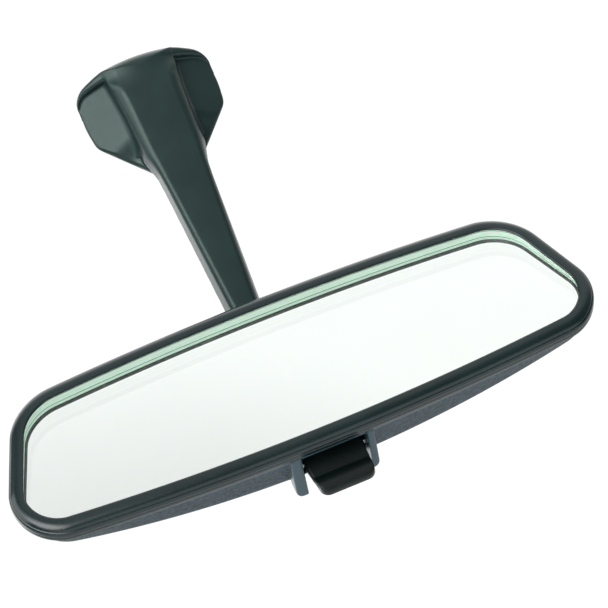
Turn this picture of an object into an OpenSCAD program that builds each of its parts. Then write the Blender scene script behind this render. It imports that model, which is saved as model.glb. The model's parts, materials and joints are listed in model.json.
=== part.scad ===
// Interior rearview mirror: flip-lever head on a ball-jointed windscreen arm.
// Head frame: X across the glass, Z up in the glass plane, the glass faces -Y.
// Every node is drawn in the row frame, whose origin is the centre of the windscreen pad.

/* [Head] */
// Half width of the rim opening at the bottom corners
lip_b = 116.5; // [110:0.5:120]
// Half width of the rim opening at the top corners
lip_t = 100; // [94:0.5:106]
// Corner-to-corner height of the rim opening
lip_h = 49; // [46:0.5:54]
// Corner radius of the opening at the top
lip_rt = 16.4; // [13:0.1:18]
// Corner radius of the opening at the bottom
lip_rb = 12.2; // [10:0.1:14]
// Upward bow of the top edge
crown_t = 4.8; // [3:0.1:6]
// Downward bow of the bottom edge
crown_b = 6.7; // [5:0.1:8]
// Width of the rim around the opening
rim_w = 6; // [5.6:0.1:6.4]
// Depth of the rim
rim_y = 5.7; // [5.4:0.1:6]
// Depth of the case behind the rim's front, on the centre line
case_y = 25.4; // [24.6:0.1:27]
// Extra bulge of the case back
dome_y = 4.6; // [4:0.1:5.2]
// Wall thickness of the case
case_wall = 2; // [1.8:0.1:2.2]

/* [Glass] */
// Glass thickness at the bottom of the wedge
glass_lo = 2.1; // [1.8:0.1:2.4]
// Wedge angle of the prismatic glass
wedge = 3.3; // [2.8:0.1:3.6]
// Thickness of the silvered layer
coat_t = 0.15; // [0.1:0.05:0.2]
// Thickness of the foam pad behind the silver
pad_t = 1; // [0.8:0.1:1.2]

/* [Ball joint] */
// Distance from the rim's front plane back to the ball centre
ball_y = 21; // [20.8:0.1:21.4]
// Ball radius
ball_r = 7.5; // [7.4:0.05:7.6]
// Outer radius of the two seats round the ball
seat_r = 10; // [9.9:0.05:10.05]
// Neck radius behind the ball
neck_r = 3.5; // [3.2:0.1:3.6]
// Radial running clearance in the joints
play = 0.05; // [0.04:0.01:0.08]

/* [Flip mechanism] */
// Height of the hinge rod above the ball centre
hinge_z = 22; // [21.5:0.1:22.5]
// Depth of the hinge rod
hinge_y = 13; // [12.8:0.1:13.2]
// Hinge rod radius
rod_r = 1.5; // [1.4:0.05:1.6]
// Depth of the lever pivot
pivot_y = 16.5; // [16.3:0.1:16.7]
// Distance of the lever pivot below the ball centre
pivot_z = 33.5; // [33.3:0.1:33.7]
// Distance from the lever pivot to the drive pin
crank = 5; // [4.9:0.05:5.1]
// Half of the lever's swing
half_swing = 22; // [20:1:24]
// Drive pin radius
drive_r = 1.2; // [1.1:0.05:1.25]
// Clearance of the drive pin in its fork, on each side
fork_gap = 0.15; // [0.12:0.01:0.2]
// Forward lean of the lever blade
blade_lean = 6; // [4:1:8]
// Length of the lever below its pivot
blade_l = 17.2; // [16:0.1:18]
// Half width of the lever
lever_x = 12; // [11.8:0.1:12.2]
// Half width of the recess in the case for the lever
recess_x = 12.8; // [12.6:0.1:13]

/* [Arm] */
// Lean of the arm's front face from the glass plane
arm_lean = 19.6; // [18:0.1:21]
// Lean of the windscreen from the glass plane
rake = 28; // [27:0.5:29]
// Front face width at the lower visible end
arm_w = 11; // [10.6:0.1:11.4]
// Front face width at the top of the foot
spine_w = 29.5; // [29:0.1:30]
// Depth of the arm channel
arm_d = 7.5; // [7:0.1:8]
// Wall thickness of the arm and foot
arm_wall = 2; // [1.8:0.1:2.2]
// Radius of the boss that holds the ball stud
boss_r = 9; // [8.5:0.1:9.5]

/* [Foot] */
// Half width of the foot at its widest
foot_x = 30.6; // [30:0.1:31]
// Radius of the roof's crown
crown_r = 79; // [76:1:84]
// Setback of the wings behind the spine
wing_q = 7.3; // [7:0.1:7.6]
// Radius of the windscreen button
button_r = 14; // [13.5:0.1:14.2]

/* [Hidden] */
eps = 0.01;
$fn = 64;

// Arm frame: x across, y = q back from the front face, z = s up the arm
arm_y0 = 35.9;
arm_z0 = 60;
spine_s = 113;
pad_s = 97;
pad_q = 16.3;
// Windscreen pad centre in the head frame
org_y = arm_y0 + pad_q * cos(arm_lean) - pad_s * sin(arm_lean);
org_z = arm_z0 + pad_q * sin(arm_lean) + pad_s * cos(arm_lean);

module head_frame() translate([0, -org_y, -org_z]) children();
module arm_frame() head_frame() translate([0, arm_y0, arm_z0]) rotate([arm_lean, 0, 0]) children();
module pad_frame() rotate([rake, 0, 0]) children();
// Cylinder along +Y from y0 to y1
module ycyl(r, y0, y1, fn = 64) translate([0, y0, 0]) rotate([-90, 0, 0]) cylinder(h = y1 - y0, r = r, $fn = fn);
// Cylinder along X, centred
module xcyl(r, l, fn = 48) rotate([0, 90, 0]) cylinder(h = l, r = r, center = true, $fn = fn);
// Box from a low corner to a high corner
module box(a, b) translate(a) cube(b - a);
// Plate in the XZ plane between y0 and y1
module plate(y0, y1) translate([0, y1, 0]) rotate([90, 0, 0]) linear_extrude(y1 - y0) children();
// Plate in the YZ plane, centred on x, of thickness t
module side_plate(x, t) translate([x - t / 2, 0, 0]) rotate([90, 0, 90]) linear_extrude(t) children();

// ---------------------------------------------------------------- outline of the head
side_t = (lip_b - lip_t) / lip_h;
side_k = sqrt(1 + side_t * side_t);
side_a = atan(side_t);
arc_b = 8;
arc_t = 6;
edge_n = 12;
function bulge(p, h, ab, at) =
    let (s = max(0, min(1, p[1] / h + 0.5)), a = ab * (1 - s) + at * s, e = 1 - pow(p[0] / a, 2))
    [p[0], p[1] + s * crown_t * e - (1 - s) * crown_b * e];
function arc(c, r, a0, a1, n) = [for (i = [0:n]) c + r * [cos(a0 + (a1 - a0) * i / n), sin(a0 + (a1 - a0) * i / n)]];
function edge(p, q, n) = [for (i = [1:n - 1]) p + (q - p) * i / n];
// Outline of the opening, offset outwards by d, counter-clockwise
function outline(d) = let (
    h = lip_h + 2 * d,
    ab = lip_b + d * (side_k + side_t),
    at = lip_t + d * (side_k - side_t),
    xm = (ab + at) / 2,
    rb = lip_rb + d,
    rt = lip_rt + d,
    cb = [xm + side_t * (h / 2 - rb) - rb * side_k, rb - h / 2],
    ct = [xm - side_t * (h / 2 - rt) - rt * side_k, h / 2 - rt],
    right = concat(arc(cb, rb, -90, side_a, arc_b), arc(ct, rt, side_a, 90, arc_t)),
    n = len(right),
    left = [for (i = [n - 1:-1:0]) [-right[i][0], right[i][1]]],
    all = concat(right, edge(right[n - 1], left[0], edge_n), left, edge(left[n - 1], right[0], edge_n))
) [for (p = all) bulge(p, h, ab, at)];
ring_n = len(outline(0));

// Closed skin over rings of equal length, with flat or fanned ends
module skin(rings) {
    n = len(rings[0]);
    m = len(rings);
    polyhedron(
        points = [for (r = rings) for (p = r) p],
        faces = concat(
            [[for (i = [n - 1:-1:0]) i]],
            [for (j = [0:m - 2]) for (i = [0:n - 1]) let (k = (i + 1) % n) [j * n + i, j * n + k, (j + 1) * n + k]],
            [for (j = [0:m - 2]) for (i = [0:n - 1]) let (k = (i + 1) % n) [j * n + i, (j + 1) * n + k, (j + 1) * n + i]],
            [[for (i = [0:n - 1]) (m - 1) * n + i]]),
        convexity = 6);
}
// A section of [offset, y] points swept round the outline
module rim_sweep(section) {
    m = len(section);
    loops = [for (s = section) [for (p = outline(s[0])) [p[0], s[1], p[1]]]];
    polyhedron(
        points = [for (l = loops) for (p = l) p],
        faces = concat(
            [for (j = [0:m - 1]) for (i = [0:ring_n - 1]) let (k = (i + 1) % ring_n, j2 = (j + 1) % m)
                [j * ring_n + i, j2 * ring_n + k, j * ring_n + k]],
            [for (j = [0:m - 1]) for (i = [0:ring_n - 1]) let (k = (i + 1) % ring_n, j2 = (j + 1) % m)
                [j * ring_n + i, j2 * ring_n + i, j2 * ring_n + k]]),
        convexity = 8);
}
// Depth of the case's rear corner, shallower towards the ends
function depth(x) = case_y - 0.0009 * x * x;
// Case form, shrunk by w: walls with draft, a rounded rear corner and a bowed back
function wall_ring(d, f, w) = [for (p = outline(d - w)) [p[0], w > 0 && f == 0 ? rim_y - 1 : rim_y + (depth(p[0]) - 5 - rim_y) * f, p[1]]];
function corner_ring(d, y, w) = [for (p = outline(d - w)) [p[0], depth(p[0]) - y - w, p[1]]];
function back_ring(g, w) = [for (p = outline(0.6 - w)) [p[0] * g, depth(p[0] * g) - w + dome_y * (1 - g * g), p[1] * g]];
module case_form(w) skin([
    wall_ring(5.4, 0, w), wall_ring(4.6, 0.5, w), wall_ring(3.8, 1 - w * 0.12, w),
    corner_ring(3.2, 2.9, w), corner_ring(2.2, 1.2, w), corner_ring(0.6, 0.2, w),
    back_ring(0.9, w), back_ring(0.72, w), back_ring(0.5, w), back_ring(0.28, w), back_ring(0.1, w)]);

// ---------------------------------------------------------------- windscreen mounting
module adhesive_pad() color("#3a3c3e") pad_frame() ycyl(12.6, -0.6, 0);

module windscreen_button() color("#8f9499") pad_frame()
    rotate([-90, 0, 0]) rotate_extrude($fn = 64)
        polygon([[0, -0.6], [13, -0.6], [13, -1.6], [11.6, -2.2], [11.6, -3.2], [button_r, -3.8], [button_r, -5], [0, -5]]);

// Spring ring that snaps into the button's groove and stands on the foot plate
module foot_spring() color("#b6babd") pad_frame() {
    plate(-3.1, -2.4) difference() {
        union() {
            difference() {
                circle(16.6);
                circle(15);
            }
            for (a = [90, 210, 330]) rotate(a) translate([11.8, -2.5]) square([4, 5]);
        }
        translate([-3, -18]) square([6, 8]);
    }
    for (p = [[-7.8, 13.7], [7.8, 13.7], [-5.4, -14.8], [5.4, -14.8]])
        translate([p[0] - 0.8, -5.1, p[1] - 0.7]) cube([1.6, 2.2, 1.4]);
}

// Steel plate that carries the spring ring, held on three bosses in the foot
plate_holes = [[-8.5, 10.5], [8.5, 10.5], [0, -13.5]];
module foot_plate() color("#9a9ea3") pad_frame() difference() {
    box([-11.6, -6.6, -17], [11.6, -5.1, 14.6]);
    for (p = plate_holes) translate([p[0], 0, p[1]]) foot_screw(0.1);
    ycyl(4, -8, -4);
}
// Countersunk screw, grown by g for its hole
module foot_screw(g) {
    ycyl(1.3 + g, -10.2 - g, -5.1 + g, 32);
    translate([0, -6.4, 0]) rotate([-90, 0, 0]) cylinder(h = 1.3 + g, r1 = 1.3 + g, r2 = 2.6 + g, $fn = 32);
}
module foot_screws() color("#6d7175") pad_frame() for (p = plate_holes) translate([p[0], 0, p[1]]) foot_screw(0);

// ---------------------------------------------------------------- arm and foot
// Polygon from [x, y, radius] corners
function unit(v) = v / norm(v);
function fillet(o, p, q, r, n) = let (
    a = unit([o[0] - p[0], o[1] - p[1]]),
    b = unit([q[0] - p[0], q[1] - p[1]]),
    half = acos(max(-1, min(1, a * b))) / 2,
    c = [p[0], p[1]] + unit(a + b) * r / sin(half),
    s = [p[0], p[1]] + a * r / tan(half) - c,
    e = [p[0], p[1]] + b * r / tan(half) - c,
    a0 = atan2(s[1], s[0]),
    d = atan2(e[1], e[0]) - a0,
    turn = d > 180 ? d - 360 : d < -180 ? d + 360 : d
) [for (i = [0:n]) c + r * [cos(a0 + turn * i / n), sin(a0 + turn * i / n)]];
function rounded(v, n = 8) = let (m = len(v))
    [for (i = [0:m - 1]) for (p = v[i][2] > 0 ? fillet(v[(i + m - 1) % m], v[i], v[(i + 1) % m], v[i][2], n) : [[v[i][0], v[i][1]]]) p];
function mirrored(v) = concat(v, [for (i = [len(v) - 1:-1:0]) if (v[i][0] > 0) [-v[i][0], v[i][1], v[i][2]]]);

top_s = 122.8;
foot_half = [[0, top_s + 3.9, crown_r], [foot_x - 0.3, 117, 8], [foot_x + 0.4, 101, 40], [foot_x - 1, 91.5, 8], [10, 70.2, 0]];
module foot_outline() polygon(rounded(mirrored(foot_half)));
// Plate in the arm frame between two depths
module arm_plate(q0, q1) plate(q0, q1) children();
// Half width of the arm's front face, which widens faster above the bend
bend_s = 59;
bend_w = 19.2;
function half_w(s) = s < bend_s ? (arm_w + (bend_w - arm_w) * max(0, s) / bend_s) / 2
    : (bend_w + (spine_w - bend_w) * (s - bend_s) / (spine_s - bend_s)) / 2;
// Draft of the side walls over the arm's depth
function draft(s) = s < 66 ? 2.2 - 0.0155 * max(0, s) : max(0.3, 13.7 - half_w(s));
// Tapered bar through the levels ss, between two depths, inset by in
module stem(ss, q0, q1, in) skin([for (s = ss) let (w = half_w(s) - in, k = draft(s) / arm_d)
    [[-w - k * q0, q0, s], [-w - k * q1, q1, s], [w + k * q1, q1, s], [w + k * q0, q0, s]]]);
// Everything in front of the wings' swept faces
module wing_front(x0, q0, sweep) for (m = [0, 1]) mirror([m, 0, 0])
    translate([x0, q0, 0]) rotate([0, 0, sweep]) box([-60, -40, 60], [60, 0, 130]);

// What the rounded front edge of the roof leaves out
module roof_round() translate([0, 0, top_s - crown_r]) difference() {
    ycyl(crown_r + 20, -2, 7, 128);
    ycyl(crown_r - 7, -3, 8, 128);
    translate([0, 7, 0]) rotate([90, 0, 0]) rotate_extrude($fn = 128) translate([crown_r - 7, 0]) circle(7, $fn = 48);
    box([-120, -3, -120], [120, 8, crown_r - 18]);
}

module arm_outer() {
    arm_frame() {
        stem([-62, 0, bend_s, 66, 76, 100], 0, arm_d, 0);
        difference() {
            intersection() {
                arm_plate(-1, 40) foot_outline();
                union() {
                    stem([76, 90, 97, 125], 0, wing_q + 3, 0);
                    difference() {
                        arm_plate(wing_q, 40) foot_outline();
                        wing_front(14.4, wing_q, 18);
                    }
                    difference() {
                        arm_plate(0.6, 14) difference() {
                            foot_outline();
                            translate([0, -4.2]) foot_outline();
                        }
                        wing_front(14, 0.6, 27);
                        box([-50, -5, 0], [50, 50, 106]);
                    }
                }
            }
            roof_round();
        }
    }
    head_frame() {
        ycyl(boss_r, 37.5, 66);
        side_plate(0, 5) polygon([[39, 6], [39, 9], [50, 29], [54, 29], [62, 6]]);
    }
}
module arm() color("#33383a") difference() {
    arm_outer();
    // Channel in the stem
    arm_frame() difference() {
        stem([-46, 0, bend_s, 66], arm_wall, arm_d + 1, arm_wall);
        for (s = cover_s) translate([0, 0, s]) ycyl(2.6, 0, arm_d - 1.85, 32);
    }
    arm_frame() for (s = cover_s) translate([0, 0, s]) ycyl(1.15, 2.35, arm_d, 32);
    // Hollow foot, open at the windscreen
    arm_frame() difference() {
        union() {
            stem([76, 90, 97, 112], arm_wall, 11, arm_wall);
            difference() {
                intersection() {
                    arm_plate(wing_q + arm_wall, 40) translate([0, 99]) scale(0.92) translate([0, -99]) foot_outline();
                    box([-50, 0, 76], [50, 40, 114.5]);
                }
                wing_front(14.4, wing_q + arm_wall, 18);
            }
        }
        foot_bosses();
    }
    pad_frame() box([-60, -0.5, -60], [60, 40, 60]);
    pad_frame() for (p = plate_holes) translate([p[0], 0, p[1]]) ycyl(1.35, -10.25, 0, 32);
    // Stud bore and nut recess
    head_frame() {
        ycyl(3.03, 30, 70);
        ycyl(7, 60.2, 70);
    }
}
module foot_bosses() translate([0, pad_q, pad_s]) rotate([rake - arm_lean, 0, 0])
    for (p = plate_holes) translate([p[0], 0, p[1]]) ycyl(3, -30, -6.62, 32);
cover_s = [6, 56];

module arm_cover() color("#2f3436") arm_frame() difference() {
    stem([-45.8, 0, bend_s, 65.8], arm_d - 1.8, arm_d - 0.2, arm_wall + 0.15);
    for (s = cover_s) translate([0, 0, s]) ycyl(1.2, 0, 20, 32);
}
module cover_screws() color("#6d7175") arm_frame() for (s = cover_s) translate([0, 0, s]) {
    ycyl(1.1, 2.4, arm_d - 0.2, 32);
    ycyl(2.1, arm_d - 0.2, arm_d + 1, 32);
}

module ball_stud() color("#aeb2b5") head_frame() {
    translate([0, ball_y, 0]) sphere(ball_r);
    ycyl(neck_r, ball_y + 4, 36.5);
    ycyl(6.5, 36, 37.5);
    ycyl(3, 37, 66.5);
}
module stud_washer() color("#a4a8ab") head_frame() difference() {
    ycyl(5.8, 60.2, 61);
    ycyl(3.1, 60, 62);
}
module stud_nut() color("#8c9094") head_frame() difference() {
    ycyl(5.6, 61, 65, 6);
    ycyl(3.03, 60, 66);
}

// ---------------------------------------------------------------- ball joint
module at_ball() translate([0, ball_y, 0]) children();
// Everything in front of the rear seat's edge, which slopes back so that the two seats can nod
module seat_split() side_plate(0, 40) polygon([[0.3, 0], [2.9, 20], [-20, 20], [-20, -20], [2.9, -20]]);
module ball_seat_rear() color("#d9d6cc") head_frame() at_ball() difference() {
    sphere(seat_r);
    sphere(ball_r + play);
    ycyl(5.9, 0, 20);
    seat_split();
}
module ball_seat_front() color("#d9d6cc") head_frame() at_ball() difference() {
    sphere(seat_r);
    sphere(ball_r + play);
    ycyl(3, -20, 0);
    mirror([0, 1, 0]) seat_split();
}

clamp_y = 12.5;
clamp_a = [90, 210, 330];
module clamp_holes(r, y0, y1) for (a = clamp_a) rotate([0, a, 0]) translate([12.4, 0, 0]) ycyl(r, y0, y1, 32);
pin_y = pivot_y - crank * sin(half_swing);
pin_z = -pivot_z + crank * cos(half_swing);

module carrier() color("#4b5054") head_frame() difference() {
    union() {
        ycyl(14.5, clamp_y, ball_y - 1);
        ycyl(12.6, ball_y - 2, 29);
        box([-10, clamp_y, 10], [10, hinge_y + rod_r + 1.6, hinge_z]);
        translate([0, hinge_y, hinge_z]) xcyl(3.2, 44);
        box([-5.8, clamp_y, pin_z + 4], [5.8, clamp_y + 4, -11]);
        difference() {
            box([-5.8, pin_y - 3.4, pin_z - 1.1], [5.8, pin_y + 3.4, pin_z + 6]);
            box([-7, pin_y - drive_r - fork_gap, pin_z - 5], [7, pin_y + drive_r + fork_gap, pin_z + 2.4]);
        }
    }
    at_ball() {
        sphere(seat_r + play);
        ycyl(seat_r + play, -20, 0);
        ycyl(7, 0, 20);
    }
    translate([0, hinge_y, hinge_z]) xcyl(rod_r + play, 60);
    clamp_holes(1.1, 0, ball_y - 1.6);
    // Corner of the fork's rear tine, clear of the detent spring
    side_plate(0, 20) polygon([[pin_y + 2.2, pin_z - 1.2], [pin_y + 3.5, pin_z - 1.2], [pin_y + 3.5, pin_z + 1.3]]);
}
module clamp_plate() color("#9ca0a4") head_frame() difference() {
    ycyl(14.5, 9.8, clamp_y);
    at_ball() sphere(seat_r + play);
    ycyl(4, 0, 20);
    clamp_holes(1.3, 0, 20);
}
module clamp_screws() color("#6d7175") head_frame() {
    clamp_holes(1.1, 8.4, ball_y - 1.8);
    clamp_holes(2.1, 8.3, 9.8);
}

// ---------------------------------------------------------------- head
// Half space behind the glass wedge, shifted back by t
module behind_glass(t) translate([0, 1 + glass_lo + t, -lip_h / 2 - crown_b]) rotate([-wedge, 0, 0])
    box([-200, 0, -50], [200, 60, 150]);
module slab(d) plate(1, 20) polygon(outline(d));

module mirror_glass() color("#cfdcd8") head_frame() difference() {
    slab(1);
    behind_glass(0);
}
module mirror_coating() color("#e8ecee") head_frame() difference() {
    intersection() {
        slab(0.9);
        behind_glass(0);
    }
    behind_glass(coat_t);
}
module glass_pad() color("#2a2b2c") head_frame() difference() {
    intersection() {
        slab(-2);
        behind_glass(coat_t);
    }
    behind_glass(coat_t + pad_t);
}

module bezel() color("#1f2527") head_frame() rim_sweep([
    [0, 0.95], [0, 0.35], [0.5, 0.05], [1.4, 0], [2.6, 0.1], [3.8, 0.45], [4.7, 1.0], [5.15, 1.45],
    [5.0, 1.75], [5.45, 1.95], [5.8, 2.5], [rim_w, 3.2], [rim_w, 3.75], [rim_w - 0.3, 3.9], [rim_w - 0.3, 4.05],
    [rim_w, 4.2], [rim_w, rim_y], [2.3, rim_y], [2.3, 6.9], [1.6, 6.9], [1.2, 6.4], [1.2, 0.95]]);

// Guard rib beside the lever, which also carries the lever pin
rib_in = [13.3, 13];
rib_out = [17.9, 16.2];
module rib(k) intersection() {
    side_plate((rib_in[k] + rib_out[k]) / 2, rib_out[k] - rib_in[k]) polygon(rounded([
        [6.2, -35.5, 0], [6.6, -37.2, 0.5], [26.6, -41, 3], [26.6, -34, 1.5], [21.5, -33.4, 0], [20.5, -29.5, 2],
        [12.5, -29.5, 2], [11.5, -33.8, 0]], 6));
    translate([0, 0, -50]) linear_extrude(40) polygon(rounded([[rib_in[k], 0, 0], [rib_out[k], 0, 0],
        [rib_out[k], 26.6, 2.8], [rib_in[k], 26.6, 0]], 6));
}
bracket_x = 32;
module case_shell() color("#454f59") head_frame() difference() {
    union() {
        difference() {
            case_form(0);
            case_form(case_wall);
        }
        for (m = [0, 1]) mirror([m, 0, 0]) {
            rib(1 - m);
            translate([bracket_x, 0, hinge_z]) ycyl(4, 19, case_y - 0.1, 32);
        }
        translate([0, 0, -21]) ycyl(3.4, 24.1, case_y + 1.4, 32);
    }
    for (m = [-1, 1]) translate([m * bracket_x, 0, hinge_z]) ycyl(1.3, 18, 24, 32);
    translate([0, 0, -21]) ycyl(1.1, 20, 26, 32);
    ycyl(14.2, 20, 40);
    box([-recess_x, 8.6, -45], [recess_x, 21.5, -28]);
    translate([0, pivot_y, -pivot_z]) xcyl(1.25, 60, 32);
}

module hinge_bracket() color("#3c4145") head_frame() difference() {
    union() {
        box([-37, 17, 17.4], [37, 19, 26.6]);
        for (x = [-25.6, 25.6]) {
            side_plate(x, 3) polygon([[18, 17.4], [18, 26.6], [hinge_y, 26], [hinge_y, 18]]);
            translate([x, hinge_y, hinge_z]) xcyl(4, 3);
        }
    }
    translate([0, hinge_y, hinge_z]) xcyl(rod_r, 60);
    for (x = [-bracket_x, bracket_x]) translate([x, 0, hinge_z]) ycyl(1.5, 10, 20, 32);
}
module bracket_screws() color("#6d7175") head_frame() for (x = [-bracket_x, bracket_x]) translate([x, 0, hinge_z]) {
    ycyl(1.3, 17, 24, 32);
    ycyl(2.6, 15.4, 17, 32);
}
module hinge_rod() color("#a9adb0") head_frame() translate([0, hinge_y, hinge_z]) xcyl(rod_r, 57);
module lever_pin() color("#a9adb0") head_frame() translate([(rib_out[1] - rib_out[0]) / 2, pivot_y, -pivot_z])
    xcyl(1.23, rib_out[0] + rib_out[1]);

// Leaf that presses on the lever's hub
module detent_spring() color("#b6babd") head_frame() difference() {
    side_plate(0, 8) polygon([[23.6, -17.4], [24.1, -17.4], [24.1, -25.2], [20.6, -32.4], [20.7, -33.6],
        [20.2, -33.6], [hub_r + pivot_y + 0.05, -32.6], [23.6, -25]]);
    translate([0, 0, -21]) ycyl(1.3, 20, 30, 32);
}
module spring_screw() color("#6d7175") head_frame() translate([0, 0, -21]) {
    ycyl(1.1, 23.6, 26, 32);
    ycyl(2, 22.6, 23.6, 32);
}

// ---------------------------------------------------------------- lever
hub_r = 3.2;
grip_z = 8.8;
module flip_lever() color("#15181a") head_frame() translate([0, pivot_y, -pivot_z]) difference() {
    union() {
        xcyl(hub_r, 2 * lever_x);
        rotate([-blade_lean, 0, 0]) {
            // Blade
            plate(-1.3, 1.3) polygon(rounded([[-lever_x, 0, 0], [-lever_x + 1.2, -blade_l, 3.6],
                [lever_x - 1.2, -blade_l, 3.6], [lever_x, 0, 0]]));
            // Wedge from the hub down to the grip
            side_plate(0, 2 * lever_x - 1) polygon([[-hub_r, 0], [-1.3, -grip_z - 0.6], [0, -grip_z - 0.6], [0, 0]]);
            // Grip swelling forward at the lower end, as wide as the blade
            intersection() {
                plate(-8, 0) polygon(rounded([[-lever_x + 0.7, -grip_z, 0], [-lever_x + 1.2, -blade_l, 3.6],
                    [lever_x - 1.2, -blade_l, 3.6], [lever_x - 0.7, -grip_z, 0]]));
                translate([0, 3.9, -grip_z - 4.2]) xcyl(6.6, 40, 64);
            }
        }
        // Crank arms for the drive pin
        for (x = [-7.6, 7.6]) rotate([half_swing, 0, 0]) {
            side_plate(x, 2.4) polygon([[-2.2, 0], [2.2, 0], [2, crank], [-2, crank]]);
            translate([x, 0, crank]) xcyl(2.2, 2.4, 32);
        }
    }
    xcyl(1.25 + play, 60);
    rotate([half_swing, 0, 0]) translate([0, 0, crank]) xcyl(drive_r + 0.02, 60, 32);
}
module drive_pin() color("#a9adb0") head_frame() translate([0, pin_y, pin_z]) xcyl(drive_r, 17.6, 32);

adhesive_pad();
windscreen_button();
foot_spring();
foot_plate();
foot_screws();
arm();
arm_cover();
cover_screws();
ball_stud();
stud_washer();
stud_nut();
ball_seat_rear();
ball_seat_front();
carrier();
clamp_plate();
clamp_screws();
case_shell();
bezel();
mirror_glass();
mirror_coating();
glass_pad();
hinge_bracket();
bracket_screws();
hinge_rod();
lever_pin();
detent_spring();
spring_screw();
flip_lever();
drive_pin();
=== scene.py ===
import json
import math

import bpy
import numpy as np
from mathutils import Matrix, Vector


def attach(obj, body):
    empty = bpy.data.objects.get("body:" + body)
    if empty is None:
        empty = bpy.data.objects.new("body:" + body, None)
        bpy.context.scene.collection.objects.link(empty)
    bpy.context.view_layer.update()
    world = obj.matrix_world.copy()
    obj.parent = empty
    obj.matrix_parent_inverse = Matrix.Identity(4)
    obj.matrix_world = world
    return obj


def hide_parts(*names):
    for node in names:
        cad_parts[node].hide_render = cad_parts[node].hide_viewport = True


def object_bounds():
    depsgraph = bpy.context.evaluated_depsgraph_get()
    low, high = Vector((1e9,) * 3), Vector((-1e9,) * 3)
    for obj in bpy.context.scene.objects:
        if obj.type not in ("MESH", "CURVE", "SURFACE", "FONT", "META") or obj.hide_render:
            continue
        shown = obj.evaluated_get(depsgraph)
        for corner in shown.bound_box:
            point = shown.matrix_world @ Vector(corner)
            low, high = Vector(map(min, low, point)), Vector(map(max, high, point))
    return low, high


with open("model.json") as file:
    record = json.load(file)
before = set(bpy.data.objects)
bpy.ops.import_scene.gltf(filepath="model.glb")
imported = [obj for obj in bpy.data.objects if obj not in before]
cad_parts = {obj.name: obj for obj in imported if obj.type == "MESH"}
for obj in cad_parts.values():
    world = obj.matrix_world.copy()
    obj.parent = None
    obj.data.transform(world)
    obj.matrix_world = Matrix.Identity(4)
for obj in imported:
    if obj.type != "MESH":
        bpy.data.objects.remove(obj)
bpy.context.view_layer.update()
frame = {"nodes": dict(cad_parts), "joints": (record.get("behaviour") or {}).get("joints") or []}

MM = 0.001
FAR = 1e9
rad = math.radians

# ------------------------------------------------------------------ frames, in millimetres
# Head frame: x across, z up in the glass plane, the glass faces -y, origin at the rim's centre.
BALL_Y = 21.0
ball = next(Vector(j["pos_m"]) for j in frame["joints"] if j["name"] == "nod")
HEAD = np.array(ball) - np.array([0, BALL_Y * MM, 0])
# Arm frame: x across, q back from the spine's front face, s up along the leaning spine.
ARM_DEG, SCREEN_DEG = 19.6, 28
ARM_Y, ARM_Z, LEAN = 35.9, 60.0, rad(ARM_DEG)
# Windscreen plane behind the foot: its centre in the arm frame, and its tilt from the arm
PAD_Q, PAD_S, PAD_TILT = 16.3, 97.0, rad(SCREEN_DEG - ARM_DEG)


def head_to_row(p):
    return np.asarray(p, float) * MM + HEAD


def arm_to_head(p):
    p = np.asarray(p, float)
    c, s = math.cos(LEAN), math.sin(LEAN)
    y = ARM_Y + p[:, 1] * c - p[:, 2] * s
    z = ARM_Z + p[:, 1] * s + p[:, 2] * c
    return np.stack([p[:, 0], y, z], 1)


# ------------------------------------------------------------------ mesh helpers
def mesh_piece(name, points, faces, body, replaced, smooth=True):
    me = bpy.data.meshes.new(name)
    me.from_pydata([tuple(p) for p in points], [], [tuple(int(i) for i in f) for f in faces])
    me.validate()
    me.polygons.foreach_set("use_smooth", [smooth] * len(me.polygons))
    me.update()
    ob = bpy.data.objects.new(name, me)
    bpy.context.scene.collection.objects.link(ob)
    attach(ob, body)
    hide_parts(replaced)
    return ob


def grid_axis(*spans):
    """Axis from (start, end, step) spans that follow on from each other."""
    out = []
    for a, b, step in spans:
        n = max(1, round((b - a) / step))
        out += list(np.linspace(a, b, n + 1)[:-1])
    return np.array(out + [spans[-1][1]])


CORNERS = [(a, b, c) for a in (0, 1) for b in (0, 1) for c in (0, 1)]
SETTLE_PASSES, SETTLE_STEP, SETTLE_MOST = 2, 0.02, 0.3


def crossings(vol, axes, cells):
    """Mean point at which each cell's edges cross the skin."""
    total = np.zeros((len(cells), 3))
    hits = np.zeros(len(cells))
    for a in CORNERS:
        for d in range(3):
            if a[d]:
                continue
            b = tuple(1 if k == d else a[k] for k in range(3))
            ia = cells + a
            ib = cells + b
            fa, fb = vol[tuple(ia.T)], vol[tuple(ib.T)]
            cross = (fa < 0) != (fb < 0)
            t = np.where(cross, fa / np.where(fa == fb, 1, fa - fb), 0)
            pa = np.stack([axes[k][ia[:, k]] for k in range(3)], 1)
            pb = np.stack([axes[k][ib[:, k]] for k in range(3)], 1)
            total += np.where(cross[:, None], pa + (pb - pa) * t[:, None], 0)
            hits += cross
    return total / hits[:, None]


def skin_quads(inside, index):
    """One quad round each grid edge that passes through the skin."""
    faces = []
    for d in range(3):
        u, v = (d + 1) % 3, (d + 2) % 3
        lo = [slice(None)] * 3
        hi = [slice(None)] * 3
        lo[d], hi[d] = slice(0, -1), slice(1, None)
        at = np.argwhere(inside[tuple(lo)] != inside[tuple(hi)])
        for k in (u, v):
            at = at[(at[:, k] > 0) & (at[:, k] < inside.shape[k] - 1)]
        quad = []
        for du, dv in ((-1, -1), (0, -1), (0, 0), (-1, 0)):
            c = at.copy()
            c[:, u] += du
            c[:, v] += dv
            quad.append(index[tuple(c.T)])
        quad = np.stack(quad, 1)
        out = inside[tuple(at.T)]
        quad[~out] = quad[~out][:, ::-1]
        faces.append(quad)
    return np.concatenate(faces)


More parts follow.
